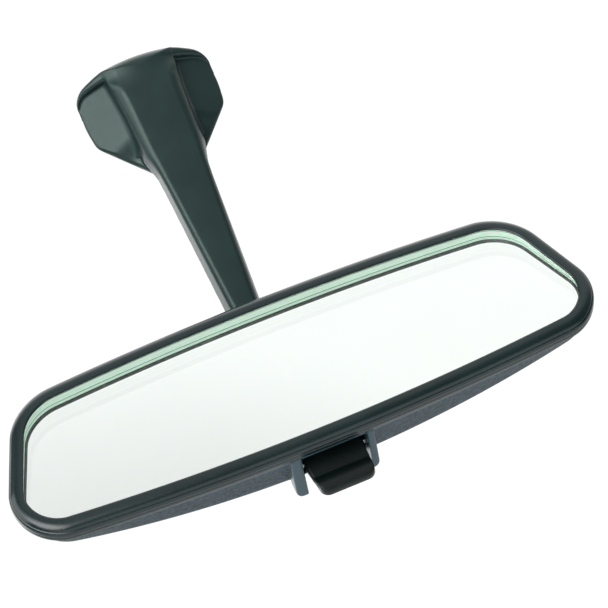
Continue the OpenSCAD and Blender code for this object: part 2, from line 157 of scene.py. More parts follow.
def settle(f, points):
    """Points moved on to the skin along the field's slope."""
    h = SETTLE_STEP
    for _ in range(SETTLE_PASSES):
        x, y, z = points.T
        slope = np.stack([(f(x + h, y, z) - f(x - h, y, z)), (f(x, y + h, z) - f(x, y - h, z)),
                          (f(x, y, z + h) - f(x, y, z - h))], 1) / (2 * h)
        step = (f(x, y, z) / np.maximum((slope * slope).sum(1), 0.2))[:, None] * slope
        size = np.linalg.norm(step, axis=1, keepdims=True)
        points = points - step * np.minimum(1, SETTLE_MOST / np.maximum(size, 1e-9))
    return points


def surface(f, xs, ys, zs):
    """Skin of f < 0 on a rectilinear grid, as vertices and quads."""
    vol = f(xs[:, None, None], ys[None, :, None], zs[None, None, :])
    vol = np.broadcast_to(vol, (len(xs), len(ys), len(zs))).astype(np.float32)
    inside = vol < 0
    shape = [n - 1 for n in vol.shape]
    count = sum(inside[tuple(slice(a, a + n) for a, n in zip(o, shape))].astype(np.int8)
                for o in CORNERS)
    cells = np.argwhere((count > 0) & (count < len(CORNERS)))
    index = np.full(shape, -1, np.int64)
    index[tuple(cells.T)] = np.arange(len(cells))
    points = crossings(vol, (xs, ys, zs), cells)
    return settle(f, points), skin_quads(inside, index)


# ------------------------------------------------------------------ distance fields, inside < 0
def both(a, b, r=0.0):
    """Intersection, its edge rounded by r."""
    if r <= 0:
        return np.maximum(a, b)
    u, v = np.maximum(a + r, 0), np.maximum(b + r, 0)
    return np.minimum(-r, np.maximum(a, b)) + np.sqrt(u * u + v * v)


def join(a, b, r=0.0):
    """Union, its corner filled by r."""
    return -both(-a, -b, r)


def cut_away(a, b, r=0.0):
    return both(a, -b, r)


def drill(body, away, radius, stop=-FAR):
    """Body less a round bore that ends where stop turns positive."""
    return np.maximum(body, -np.maximum(away - radius, stop))


def span(v, lo, hi):
    return np.maximum(lo - v, v - hi)


def ease(t):
    t = np.clip(t, 0, 1)
    return t * t * (3 - 2 * t)


def field_2d(poly, lo, hi, step):
    """Signed distance to a closed polygon, kept on a fine grid and read by interpolation."""
    poly = np.asarray(poly, float)
    gx = np.arange(lo[0], hi[0] + step, step)
    gy = np.arange(lo[1], hi[1] + step, step)
    X, Y = np.meshgrid(gx, gy, indexing="ij")
    best = np.full(X.shape, FAR)
    odd = np.zeros(X.shape, bool)
    for p, q in zip(poly, np.roll(poly, -1, 0)):
        e = q - p
        wx, wy = X - p[0], Y - p[1]
        t = np.clip((wx * e[0] + wy * e[1]) / (e @ e + 1e-12), 0, 1)
        best = np.minimum(best, (wx - e[0] * t) ** 2 + (wy - e[1] * t) ** 2)
        crosses = (p[1] > Y) != (q[1] > Y)
        odd ^= crosses & (X < (q[0] - p[0]) * (Y - p[1]) / (q[1] - p[1] + 1e-15) + p[0])
    table = np.sqrt(best) * np.where(odd, -1, 1)

    def read(x, y):
        x, y = np.broadcast_arrays(x, y)
        fx = np.clip((x - gx[0]) / step, 0, len(gx) - 1.001)
        fy = np.clip((y - gy[0]) / step, 0, len(gy) - 1.001)
        i, j = fx.astype(int), fy.astype(int)
        a, b = fx - i, fy - j
        return (table[i, j] * (1 - a) * (1 - b) + table[i + 1, j] * a * (1 - b)
                + table[i, j + 1] * (1 - a) * b + table[i + 1, j + 1] * a * b)
    return read


def rounded(corners, n=10):
    """Polygon from (x, y, radius) corners."""
    out = []
    m = len(corners)
    for i, (x, y, r) in enumerate(corners):
        p = np.array([x, y], float)
        if r <= 0:
            out.append(p)
            continue
        a = np.array(corners[i - 1][:2], float) - p
        b = np.array(corners[(i + 1) % m][:2], float) - p
        a /= np.linalg.norm(a)
        b /= np.linalg.norm(b)
        half = math.acos(np.clip(a @ b, -1, 1)) / 2
        mid = (a + b) / np.linalg.norm(a + b)
        c = p + mid * r / math.sin(half)
        s, e = p + a * r / math.tan(half) - c, p + b * r / math.tan(half) - c
        a0 = math.atan2(s[1], s[0])
        turn = (math.atan2(e[1], e[0]) - a0 + math.pi) % (2 * math.pi) - math.pi
        angles = [a0 + turn * k / n for k in range(n + 1)]
        out += [c + r * np.array([math.cos(t), math.sin(t)]) for t in angles]
    return np.array(out)


def convex(points, y, z):
    """Distance field of a convex polygon in the YZ plane, from its corners in order."""
    pts = np.asarray(points, float)
    c = pts.mean(0)
    worst = -FAR
    for p, q in zip(pts, np.roll(pts, -1, 0)):
        e = q - p
        n = np.array([e[1], -e[0]]) / np.linalg.norm(e)
        if (c - p) @ n > 0:
            n = -n
        worst = np.maximum(worst, (y - p[0]) * n[0] + (z - p[1]) * n[1])
    return worst


# ------------------------------------------------------------------ outline of the head
# Rim opening: half widths at the bottom and top, height, corner radii, bow of the long edges
LIP_B, LIP_T, LIP_H = 116.5, 100.0, 49.0
LIP_RT, LIP_RB = 16.4, 12.2
CROWN_T, CROWN_B = 4.8, 6.7
SIDE_T = (LIP_B - LIP_T) / LIP_H
SIDE_K = math.sqrt(1 + SIDE_T * SIDE_T)
SIDE_A = math.atan(SIDE_T)
ARC_B, ARC_T, EDGE_N = 22, 18, 70


def outline(d):
    """Rim opening offset outwards by d, counter-clockwise, as (x, z)."""
    h = LIP_H + 2 * d
    ab, at = LIP_B + d * (SIDE_K + SIDE_T), LIP_T + d * (SIDE_K - SIDE_T)
    xm, rb, rt = (ab + at) / 2, LIP_RB + d, LIP_RT + d
    cb = (xm + SIDE_T * (h / 2 - rb) - rb * SIDE_K, rb - h / 2)
    ct = (xm - SIDE_T * (h / 2 - rt) - rt * SIDE_K, h / 2 - rt)
    pts = []
    for c, r, a0, a1, n in ((cb, rb, -math.pi / 2, SIDE_A, ARC_B), (ct, rt, SIDE_A, math.pi / 2, ARC_T)):
        angles = [a0 + (a1 - a0) * i / n for i in range(n + 1)]
        pts += [(c[0] + r * math.cos(a), c[1] + r * math.sin(a)) for a in angles]
    right = np.array(pts)
    left = right[::-1] * [-1, 1]
    t = (np.arange(1, EDGE_N) / EDGE_N)[:, None]
    top = right[-1] + (left[0] - right[-1]) * t
    low = left[-1] + (right[0] - left[-1]) * t
    p = np.concatenate([right, top, left, low])
    s = np.clip(p[:, 1] / h + 0.5, 0, 1)
    e = 1 - (p[:, 0] / (ab * (1 - s) + at * s)) ** 2
    p[:, 1] += s * CROWN_T * e - (1 - s) * CROWN_B * e
    return p


RING_N = len(outline(0))


# ------------------------------------------------------------------ materials
def nodes_of(name):
    m = bpy.data.materials.new(name)
    m.use_nodes = True
    nt = m.node_tree
    return m, nt, nt.nodes["Principled BSDF"]


def noise(nt, scale, detail=2.0, rough=0.5, stretch=None):
    tc = nt.nodes.new("ShaderNodeTexCoord")
    src = tc.outputs["Object"]
    if stretch:
        mp = nt.nodes.new("ShaderNodeMapping")
        mp.inputs["Scale"].default_value = stretch
        nt.links.new(src, mp.inputs["Vector"])
        src = mp.outputs["Vector"]
    n = nt.nodes.new("ShaderNodeTexNoise")
    n.inputs["Scale"].default_value = scale
    n.inputs["Detail"].default_value = detail
    n.inputs["Roughness"].default_value = rough
    nt.links.new(src, n.inputs["Vector"])
    return n.outputs["Fac"]


def ramp(nt, fac, stops):
    r = nt.nodes.new("ShaderNodeValToRGB")
    el = r.color_ramp.elements
    while len(el) < len(stops):
        el.new(0.5)
    for e, (pos, col) in zip(el, stops):
        e.position = pos
        e.color = (*col, 1)
    nt.links.new(fac, r.inputs["Fac"])
    return r.outputs["Color"]


def bump(nt, shader, height, strength, distance):
    bp = nt.nodes.new("ShaderNodeBump")
    bp.inputs["Strength"].default_value = strength
    bp.inputs["Distance"].default_value = distance
    nt.links.new(height, bp.inputs["Height"])
    nt.links.new(bp.outputs["Normal"], shader.inputs["Normal"])


def grey(v):
    return (v, v, v)


def lin(*rgb):
    """Linear colour from sRGB 0 to 255."""
    return tuple(((c / 255 + 0.055) / 1.055) ** 2.4 if c > 10 else c / 255 / 12.92 for c in rgb)


def finish_of(name, dark, light, rough=(0.4, 0.5), grain=900, strength=0.1, depth=0.00005,
              patch=60, metal=0.0, spec=0.5, stretch=None, tint=(1, 1, 1)):
    """Moulded or metal finish: patchy colour, varied roughness and a fine surface grain."""
    m, nt, b = nodes_of(name)
    b.inputs["Metallic"].default_value = metal
    b.inputs["Specular IOR Level"].default_value = spec
    b.inputs["Specular Tint"].default_value = (*tint, 1)
    colour = ramp(nt, noise(nt, patch, 3.0), [(0.3, dark), (0.7, light)])
    nt.links.new(colour, b.inputs["Base Color"])
    fine = noise(nt, grain, 2.0, 0.55, stretch)
    roughness = ramp(nt, fine, [(0.3, grey(rough[0])), (0.7, grey(rough[1]))])
    nt.links.new(roughness, b.inputs["Roughness"])
    bump(nt, b, fine, strength, depth)
    return m


def give(ob, *mats):
    ob.data.materials.clear()
    for m in mats:
        ob.data.materials.append(m)


ARM_SATIN = finish_of("arm_satin", lin(25, 39, 38), lin(30, 46, 45), (0.3, 0.36), 700, 0.1,
                      spec=0.3, tint=(0.8, 1.0, 0.92))
BEZEL_BLACK = finish_of("bezel_black", lin(15, 29, 30), lin(19, 35, 36), (0.18, 0.24), 1100, 0.05,
                        spec=0.42)
CASE_GRAIN = finish_of("case_grain", lin(22, 37, 43), lin(46, 65, 74), (0.42, 0.6), 900, 1.0,
                       0.0004, 620, spec=0.3)
CASE_SMOOTH = finish_of("case_smooth", lin(43, 63, 70), lin(48, 69, 76), (0.36, 0.42), 900, 0.1,
                        0.00005, 45, spec=0.4)
LEVER_BLACK = finish_of("lever_black", lin(5, 13, 12), lin(8, 18, 17), (0.32, 0.4), 900, 0.1,
                        spec=0.26)
COVER_BLACK = finish_of("cover_black", lin(30, 40, 40), lin(35, 46, 46), (0.45, 0.55), 800, 0.25)
BRACKET_BLACK = finish_of("bracket_black", lin(34, 42, 44), lin(40, 48, 50), (0.45, 0.55), 800, 0.2)
CARRIER_GREY = finish_of("carrier_grey", lin(62, 70, 74), lin(70, 78, 82), (0.45, 0.55), 800, 0.2)
SEAT_NATURAL = finish_of("seat_natural", lin(214, 209, 196), lin(224, 220, 208), (0.35, 0.45),
                         500, 0.1)
STEEL = finish_of("brushed_steel", lin(172, 176, 178), lin(190, 193, 195), (0.22, 0.38), 400, 0.2,
                  0.00003, 80, 1.0, stretch=(1, 1, 12))
SPRING = finish_of("spring_steel", lin(180, 184, 187), lin(198, 201, 203), (0.2, 0.3), 300, 0.1,
                   0.00003, 80, 1.0, stretch=(10, 1, 1))
ZINC = finish_of("zinc_plate", lin(142, 148, 152), lin(166, 171, 175), (0.34, 0.5), 260, 0.15,
                 0.00003, 90, 1.0)
SCREW = finish_of("screw_zinc", lin(118, 122, 126), lin(140, 144, 148), (0.3, 0.42), 600, 0.15,
                  0.00003, 120, 1.0)
TAPE = finish_of("adhesive_tape", lin(58, 60, 62), lin(66, 68, 70), (0.75, 0.9), 900, 0.5, 0.00008)
FOAM = finish_of("foam_pad", lin(38, 39, 40), lin(50, 51, 52), (0.85, 0.95), 1400, 1.0, 0.0002)
SILVER = finish_of("silvering", lin(247, 249, 248), lin(249, 251, 250), (0.0, 0.004), 40, 0.0,
                   0.00001, 20, 1.0)
# Ground edge of the glass: its own pale green, plus a painted glow added below
GLOWING_GLASS_EDGE = finish_of("ground_glass_edge_painted_glow", lin(226, 255, 234), lin(232, 255, 240), (0.5, 0.7),
                       900, 0.3)
# Painted shade: darker green for the fine lines on the glass's ground edge
EDGE_SHADE_LINE = finish_of("edge_painted_shade_line", lin(96, 132, 116), lin(106, 142, 126), (0.4, 0.6), 900, 0.3)
FLOOR = finish_of("pale_floor", lin(226, 228, 230), lin(232, 234, 236), (0.7, 0.8), 30, 0.05,
                  0.0002, 3)

# Painted glow: emission on the ground edge of the glass, standing in for light scattered into it
edge_glow_shader = GLOWING_GLASS_EDGE.node_tree.nodes["Principled BSDF"]
edge_glow_shader.inputs["Emission Color"].default_value = (0.66, 0.92, 0.72, 1)
edge_glow_shader.inputs["Emission Strength"].default_value = 0.38

GLASS, glass_tree, glass_shader = nodes_of("clear_glass")
glass_shader.inputs["Base Color"].default_value = (0.985, 1.0, 0.992, 1)
glass_shader.inputs["Roughness"].default_value = 0.0
glass_shader.inputs["IOR"].default_value = 1.52
glass_shader.inputs["Transmission Weight"].default_value = 1.0
bump(glass_tree, glass_shader, noise(glass_tree, 30), 0.01, 0.00002)

NODE_FINISH = {
    "adhesive_pad": TAPE, "windscreen_button": ZINC, "foot_spring": SPRING, "foot_plate": STEEL,
    "foot_screws": SCREW, "arm": ARM_SATIN, "arm_cover": COVER_BLACK, "cover_screws": SCREW,
    "ball_stud": STEEL, "stud_washer": ZINC, "stud_nut": ZINC, "ball_seat_rear": SEAT_NATURAL,
    "ball_seat_front": SEAT_NATURAL, "carrier": CARRIER_GREY, "clamp_plate": STEEL,
    "clamp_screws": SCREW, "case_shell": CASE_GRAIN, "bezel": BEZEL_BLACK, "glass_pad": FOAM,
    "hinge_bracket": BRACKET_BLACK, "bracket_screws": SCREW, "hinge_rod": STEEL,
    "lever_pin": STEEL, "detent_spring": SPRING, "spring_screw": SCREW,
    "flip_lever": LEVER_BLACK, "drive_pin": STEEL, "mirror_glass": GLASS,
    "mirror_coating": SILVER,
}
for name, mat in NODE_FINISH.items():
    ob = frame["nodes"][name]
    if not ob.material_slots:
        ob.data.materials.append(mat)
    for slot in ob.material_slots:
        slot.material = mat


# ------------------------------------------------------------------ arm and foot
# Spine width: two straight tapers that meet at the bend
BEND_S, ROOT_W, BEND_W = 59, 11, 19.2
LOWER_GAIN, UPPER_GAIN, UPPER_RUN = 8.2, 10.3, 54
# Widening of the spine from front to back, at heights s
DRAFT_S = (0, 66, 76, 90, 97, 100)
DRAFT = (2.2, 1.177, 2.48, 1.14, 0.477, 0.3)
DRAFT_Q, DRAFT_RUN = 9, 7.5
# Bevel that grows along the spine's front edges towards the foot
BEVEL_S = (0, 62, 75, 82, 88, 95, 102, 109, 116)
BEVEL = (0.3, 0.5, 1.2, 1.7, 2.1, 2.6, 3.0, 3.0, 1.2)
STEP_W, STEP_Q, STEP_RUN = 0.3, 1.1, 0.5
SPINE_END_S, THIN_Q, THICK_MORE = -61.9, 7.5, 3.2
# Wings: set back, swept, and falling away at the lower corners beside the spine
WING_Q, WING_X, SWEEP = 7.3, 14.4, math.tan(rad(18))
FALL_Q, FALL_S, FALL_RUN = 2.8, 92, 13
FOOT_Q, FOOT_DRAFT = 12.5, 0.35
# Roof over the wings and the rounded front edge of the crown
ROOF_S, ROOF_THICK, ROOF_THIN = 106, 4.9, 0.15
CREST_S, CREST_R, CREST_ROUND = 43.8, 72, 7
FOOT_HALF = [(0, 126.7, 79), (30.3, 117.0, 8), (31.0, 101, 40), (29.6, 91.5, 8), (10, 70.2, 0)]
foot_poly = rounded(FOOT_HALF + [(-x, y, r) for x, y, r in reversed(FOOT_HALF) if x > 0])
foot_2d = field_2d(foot_poly, (-40, 60), (40, 130), 0.25)
# Lower end: boss for the ball stud, and its gusset
BOSS_R, BOSS_FRONT, BOSS_BACK = 9, 37.5, 66
GUSSET, GUSSET_HALF = [(39, 6), (39, 9), (50, 29), (54, 29), (62, 6)], 2.5
STUD_R, STUD_FROM, NUT_R, NUT_FROM = 3.05, 30, 7, 60.2
# Hollows: wall, cover screws, foot plate screws
WALL, COVER_S, COVER_POST_R, COVER_BORE_R = 2, (6, 56), 2.6, 1.15
PLATE_HOLES = ((-8.5, 10.5), (8.5, 10.5), (0, -13.5))
PLATE_POST_R, PLATE_BORE_R = 3, 1.35


def half_w(s):
    lower = ROOT_W + LOWER_GAIN * np.maximum(0, s) / BEND_S
    upper = BEND_W + UPPER_GAIN * (s - BEND_S) / UPPER_RUN
    return np.where(s < BEND_S, lower, upper) / 2


def arm_front(x, q, s):
    """Spine, wings and roof, with the shapes that the hollows follow."""
    ax = np.abs(x)
    foot = foot_2d(x, s)
    front_w = half_w(s) + 0.45 * ease((s - 66) / 14)
    w = front_w + np.interp(s, DRAFT_S, DRAFT) * np.minimum(q, DRAFT_Q) / DRAFT_RUN
    side = (ax - w + STEP_W * (1 - ease((q - STEP_Q) / STEP_RUN))) * 0.97
    bow = 0.1 * (x / w) ** 2
    crown = 0.0105 * ax ** 2 + 1.2 * ease((ax - 10) / 8)
    spine = both(side, np.maximum(bow, crown * ease((s - 105) / 11)) - q, 0.9)
    bevel = np.interp(s, BEVEL_S, BEVEL)
    spine = both(spine, (ax - front_w + bevel - q) * 0.7, 1.1)
    spine = both(spine, q - (THIN_Q + THICK_MORE * ease((s - 78) / 4)), 0.4)
    spine = both(spine, SPINE_END_S - s, 0.5)
    spine = both(spine, np.where(s > 100, foot, -9), 0.5)
    plan = foot + FOOT_DRAFT * np.maximum(0, q - FOOT_Q)
    fall = FALL_Q * ease((FALL_S - s - 0.4 * (ax - 14)) / FALL_RUN)
    face = WING_Q + SWEEP * np.maximum(0, ax - WING_X) + fall
    wing = both(plan, (face - q) * 0.93, 1.3)
    thick = ROOF_THICK - ROOF_THIN * np.maximum(0, ax - 15)
    roof = both(plan, -foot_2d(x, s + thick), 0.5)
    roof = both(roof, (np.maximum(bow, crown) - q) * 0.89, 1.6)
    roof = both(roof, ROOF_S - s, 0.3)
    body = join(join(spine, wing, 1.7), roof, 0.8)
    out = np.sqrt(x * x + (s - CREST_S) ** 2) - CREST_R
    crest = np.sqrt((q - CREST_ROUND) ** 2 + out ** 2) - CREST_ROUND
    body = np.maximum(body, np.where((out > 0) & (q < CREST_ROUND) & (s > 100), crest, -50))
    return body, w, plan, face


def arm_field(x, q, s):
    ax = np.abs(x)
    body, w, plan, face = arm_front(x, q, s)
    # Boss and gusset, in the head's depth and height
    c, sn = math.cos(LEAN), math.sin(LEAN)
    hy, hz = ARM_Y + q * c - s * sn, ARM_Z + q * sn + s * c
    rr = np.sqrt(x * x + hz * hz)
    body = join(body, both(rr - BOSS_R, span(hy, BOSS_FRONT, BOSS_BACK), 0.8), 1.5)
    body = join(body, both(convex(GUSSET, hy, hz), ax - GUSSET_HALF, 0.5), 1.0)
    # Channel behind the spine, round the cover's screw posts
    screws = np.minimum(*[np.sqrt(x * x + (s - a) ** 2) for a in COVER_S])
    channel = both(both(ax - (w - WALL), WALL - q, 0.5), span(s, -46, 66), 0.5)
    channel = drill(channel, screws, COVER_POST_R, q - 5.7)
    # Hollow foot, round the plate's screw posts: py and pz lie across and along the windscreen
    ct, st = math.cos(PAD_TILT), math.sin(PAD_TILT)
    py = (q - PAD_Q) * ct + (s - PAD_S) * st
    pz = -(q - PAD_Q) * st + (s - PAD_S) * ct
    posts = np.minimum.reduce([np.sqrt((x - a) ** 2 + (pz - b) ** 2) for a, b in PLATE_HOLES])
    hollow = both(both(plan + 2.4, face + WALL - q, 0.6), span(s, 76, 114.5), 0.6)
    behind = both(ax - (w - WALL), WALL - q, 0.6)
    behind = both(behind, np.maximum(span(s, 76, 112), q - 11), 0.5)
    hollow = drill(join(hollow, behind, 0.4), posts, PLATE_POST_R, py + 6.6)
    body = cut_away(cut_away(body, channel, 0.25), hollow, 0.3)
    body = np.maximum(body, py + 0.5)
    body = drill(body, rr, STUD_R, STUD_FROM - hy)
    body = drill(body, rr, NUT_R, NUT_FROM - hy)
    body = drill(body, screws, COVER_BORE_R, 2.4 - q)
    return drill(body, posts, PLATE_BORE_R, -10.2 - py)


pts, quads = surface(arm_field, grid_axis((-32.1, 32.1, 0.5)),
                     grid_axis((-20.3, -2, 0.9), (-2, 21.2, 0.5)),
                     grid_axis((-77.3, -38, 0.9), (-38, 62, 1.3), (62, 123.4, 0.5)))
arm = mesh_piece("arm_moulding", head_to_row(arm_to_head(pts)), quads, "stay", "arm")
give(arm, ARM_SATIN)

# ------------------------------------------------------------------ case
CASE_Y, DOME_Y, RIM_Y, CASE_WALL = 25.4, 4.6, 5.7, 2.0
SOCKET_R, SOCKET_FROM = 14.2, 20
SLOT_X, SLOT_FRONT, SLOT_BACK = 12.8, 8.6, 21.5
HINGE_X, HINGE_Z, HINGE_POST_R, HINGE_BORE_R = 32, 22, 4, 1.35
LEAF_Z, LEAF_POST_R, LEAF_BORE_R = 21, 3.4, 1.15
# Guard ribs beside the lever: profile as (y, z, radius), inner and outer faces, left then right
RIB = rounded([(6.2, -35.5, 0), (6.6, -37.2, 0.5), (26.6, -41, 0.8), (26.6, -34, 1.5),
               (21.5, -33.4, 0), (20.5, -29.5, 2), (12.5, -29.5, 2), (11.5, -33.8, 0)])
RIB_IN, RIB_OUT, RIB_BACK = (13.3, 13.0), (17.9, 16.2), 26.6
# The strip behind the bezel and the ribs are smooth, the rest is grained
SMOOTH_Y, SMOOTH_RIB = 8.2, 0.12

lip_2d = field_2d(outline(0), (-125, -46), (125, 42), 0.4)
rib_2d = field_2d(RIB, (3, -44), (30, -26), 0.15)
back_ring = outline(0.6)
order = np.argsort(np.arctan2(back_ring[:, 1], back_ring[:, 0]))
ring_angle = np.arctan2(back_ring[order, 1], back_ring[order, 0])
ring_size = np.hypot(back_ring[order, 0], back_ring[order, 1])


def depth(x):
    return CASE_Y - 0.0009 * x * x


def case_body(x, y, z, w=0.0):
    """Outer form of the case, drawn in by w."""
    f = np.clip((y - RIM_Y) / (depth(x) - 5 - RIM_Y), -0.2, 1.6)
    wall = lip_2d(x, z) - (5.4 - 1.6 * f) + w
    edge = np.interp(np.arctan2(z, x), ring_angle, ring_size, period=2 * math.pi)
    g = np.hypot(x, z) / edge
    dome = DOME_Y * (1 - np.minimum(g, 1.1) ** 2)
    back = (y - depth(np.clip(x, -110, 110)) - dome + w) * 0.97
    return both(wall, back, 4.2 - w)


def rib_field(x, y, z):
    ax = np.abs(x)
    inner, outer = np.where(x < 0, *RIB_IN), np.where(x < 0, *RIB_OUT)
    plan = both(ax - outer, y - RIB_BACK, 2.8)
    return both(both(rib_2d(y, z), plan, 1.3), inner - ax, 0.5)


def case_field(x, y, z):
    ax = np.abs(x)
    body = both(case_body(x, y, z), RIM_Y - y, 0.25)
    body = cut_away(body, both(case_body(x, y, z, CASE_WALL), RIM_Y - 1 - y))
    body = join(body, rib_field(x, y, z), 0.35)
    socket = np.maximum(np.hypot(x, z) - SOCKET_R, SOCKET_FROM - y)
    body = cut_away(body, socket, 0.5)
    slot = both(both(ax - SLOT_X, span(y, SLOT_FRONT, SLOT_BACK), 0.6), span(z, -45, -28))
    body = cut_away(body, slot, 0.3)
    # Posts for the hinge bracket and for the detent spring, with their bores
    post = np.hypot(ax - HINGE_X, z - HINGE_Z)
    body = np.minimum(body, np.maximum(post - HINGE_POST_R, span(y, 19, CASE_Y - 0.1)))
    body = drill(body, post, HINGE_BORE_R, span(y, 18, 24))
    post = np.hypot(x, z + LEAF_Z)
    body = np.minimum(body, np.maximum(post - LEAF_POST_R, span(y, 24.1, CASE_Y + 1.4)))
    return drill(body, post, LEAF_BORE_R, span(y, 20, 26))


pts, quads = surface(case_field,
                     grid_axis((-121.2, -96, 0.8), (-96, -37, 1.6), (-37, -18, 0.8), (-18, 18, 0.45),
                               (18, 37, 0.8), (37, 96, 1.6), (96, 121.2, 0.8)),
                     grid_axis((4.9, 31.2, 0.6)),
                     grid_axis((-42.2, -27, 0.45), (-27, -15, 0.9), (-15, 15, 1.0), (15, 35.6, 0.7)))
case = mesh_piece("case_moulding", head_to_row(pts), quads, "head", "case_shell")
give(case, CASE_GRAIN, CASE_SMOOTH)
centres = np.array([p.center for p in case.data.polygons])
centres = (centres - HEAD) / MM
smooth = (centres[:, 1] < SMOOTH_Y) | (np.abs(rib_field(*centres.T)) < SMOOTH_RIB)
case.data.polygons.foreach_set("material_index", smooth.astype(np.int32))

# ------------------------------------------------------------------ bezel
# Section as (offset from the opening, depth), with two fine grooves round the outside
BEZEL = [(0.12, 0.95), (0, 0.8), (0, 0.42), (0.08, 0.25), (0.25, 0.12), (0.55, 0.04), (1.0, 0),
         (1.6, 0.0), (2.2, 0.03), (2.8, 0.13), (3.3, 0.26), (3.8, 0.44), (4.25, 0.68), (4.65, 0.97),
         (4.98, 1.25), (5.14, 1.45), (5.12, 1.6), (5.02, 1.72), (5.1, 1.8), (5.3, 1.86), (5.5, 2.0),
         (5.7, 2.25), (5.86, 2.6), (5.96, 3.0), (6, 3.4), (6, 3.7), (5.94, 3.8), (5.72, 3.88),
         (5.7, 3.96), (5.72, 4.06), (5.94, 4.14), (6, 4.25), (6, 5.0), (6, 5.6), (5.9, 5.7),
         (5.5, 5.7), (2.3, 5.7), (2.3, 6.8), (2.2, 6.9), (1.7, 6.9), (1.55, 6.85), (1.2, 6.4),
         (1.2, 0.95)]


def swept(loops, closed):
    """Quads that join equal loops of points one after another, and back to the first if closed."""
    return [(j * RING_N + i, j * RING_N + (i + 1) % RING_N,
             (j + 1) % loops * RING_N + (i + 1) % RING_N, (j + 1) % loops * RING_N + i)
            for j in range(loops if closed else loops - 1) for i in range(RING_N)]


pts = [(p[0], y, p[1]) for d, y in BEZEL for p in outline(d)]
bezel = mesh_piece("bezel_moulding", head_to_row(pts), swept(len(BEZEL), True), "head", "bezel")
give(bezel, BEZEL_BLACK)

# ------------------------------------------------------------------ glass with its silver
GLASS_Y, GLASS_LO, WEDGE, COAT = 1.0, 2.1, rad(3.3), 0.15
GLASS_IN, SILVER_IN, GLASS_GAP = 0.95, 0.9, -0.02
LOW_Z = -LIP_H / 2 - CROWN_B
# The ground edge is split in depth, for a fine painted shade line at its front, where the rim's lip
# shades it, and a painted dark line near its middle, where its direct view meets its reflection
EDGE_LEVELS, SHADE_LINE_BANDS = (0, 0.06, 0.42, 0.54, 1), (0, 2)


def wedge_y(z, t):
    return 1 + GLASS_LO + t + (z - LOW_Z) * math.tan(WEDGE)


def slab(name, d, front, back, replaced, levels=(0, 1)):
    """Plate with the rim's outline between two depth functions, its edge split at the levels."""
    ring = outline(d)
    m = len(levels) - 1
    pts = [(x, front(z) + t * (back(z) - front(z)), z) for t in levels for x, z in ring]
    faces = [list(range(RING_N))[::-1], [m * RING_N + i for i in range(RING_N)]]
    faces += swept(len(levels), False)
    return mesh_piece(name, head_to_row(pts), [f[::-1] for f in faces], "head", replaced, False)


glass = slab("glass_plate", GLASS_IN, lambda z: GLASS_Y, lambda z: wedge_y(z, GLASS_GAP),
             "mirror_glass", EDGE_LEVELS)
give(glass, GLASS, GLOWING_GLASS_EDGE, EDGE_SHADE_LINE)
# Edge faces take the ground edge's colour, and the listed bands take the painted shade lines
for i, p in enumerate(glass.data.polygons[2:]):
    p.material_index = 1 + (i // RING_N in SHADE_LINE_BANDS)
silver = slab("silver_layer", SILVER_IN, lambda z: wedge_y(z, 0), lambda z: wedge_y(z, COAT),
              "mirror_coating")
give(silver, SILVER)

# ------------------------------------------------------------------ lever
PIVOT_Y, PIVOT_Z, PIVOT_R, HUB_R = 16.5, 33.5, 1.3, 3.2
CRANK, CRANK_TURN, CRANK_X, EYE_R, PIN_R = 5.0, rad(22), 7.6, 2.2, 1.21
BLADE_LEAN, BLADE_L, BLADE_HALF, LEVER_X = rad(6), 17.2, 1.3, 12.0
GRIP_Z, GRIP_V, GRIP_R = 8.8, 3.9, 6.6
BLADE_TOE = LEVER_X - 1.2
blade_2d = field_2d(rounded([(-LEVER_X, 0, 0), (-BLADE_TOE, -BLADE_L, 3.6),
                             (BLADE_TOE, -BLADE_L, 3.6), (LEVER_X, 0, 0)]), (-16, -21), (16, 4), 0.1)
NECK = [(-3.2, 0), (-1.3, -GRIP_Z - 0.6), (1.2, -GRIP_Z - 0.6), (3.2, 0)]


def lever_field(x, y, z):
    """In millimetres from the lever pivot."""
    ax = np.abs(x)
    r = np.hypot(y, z)
    hub = both(r - HUB_R, ax - LEVER_X, 0.4)
    # Blade, in its own lean: v through it, w along it
    c, s = math.cos(BLADE_LEAN), math.sin(BLADE_LEAN)
    v, w = y * c - z * s, y * s + z * c
    outer = blade_2d(x, w)
    blade = both(outer, np.abs(v) - BLADE_HALF, 0.7)
    grip = both(both(outer, v, 0.2), np.hypot(v - GRIP_V, w + GRIP_Z + 4.2) - GRIP_R, 0.5)
    neck = both(convex(NECK, v, w), outer, 0.5)
    body = join(join(join(blade, neck, 0.4), hub, 0.3), grip, 0.12)
    # Two crank arms, with the eyes for the drive pin
    c, s = math.cos(CRANK_TURN), math.sin(CRANK_TURN)
    v, w = y * c + z * s, -y * s + z * c
    arm_x = np.abs(ax - CRANK_X) - 1.2
    pin = np.hypot(v, w - CRANK)
    web = both(np.maximum(np.abs(v) - EYE_R, span(w, 0, CRANK)), arm_x, 0.25)
    eye = both(pin - EYE_R, arm_x, 0.25)
    body = join(body, np.minimum(web, eye), 0.3)
    return drill(drill(body, r, PIVOT_R), pin, PIN_R)


pts, quads = surface(lever_field, grid_axis((-12.9, 12.9, 0.35)), grid_axis((-5.6, 4.4, 0.35)),
                     grid_axis((-18.2, 7.6, 0.35)))
lever = mesh_piece("lever_moulding", head_to_row(pts + [0, PIVOT_Y, -PIVOT_Z]), quads, "lever",
                   "flip_lever")
give(lever, LEVER_BLACK)

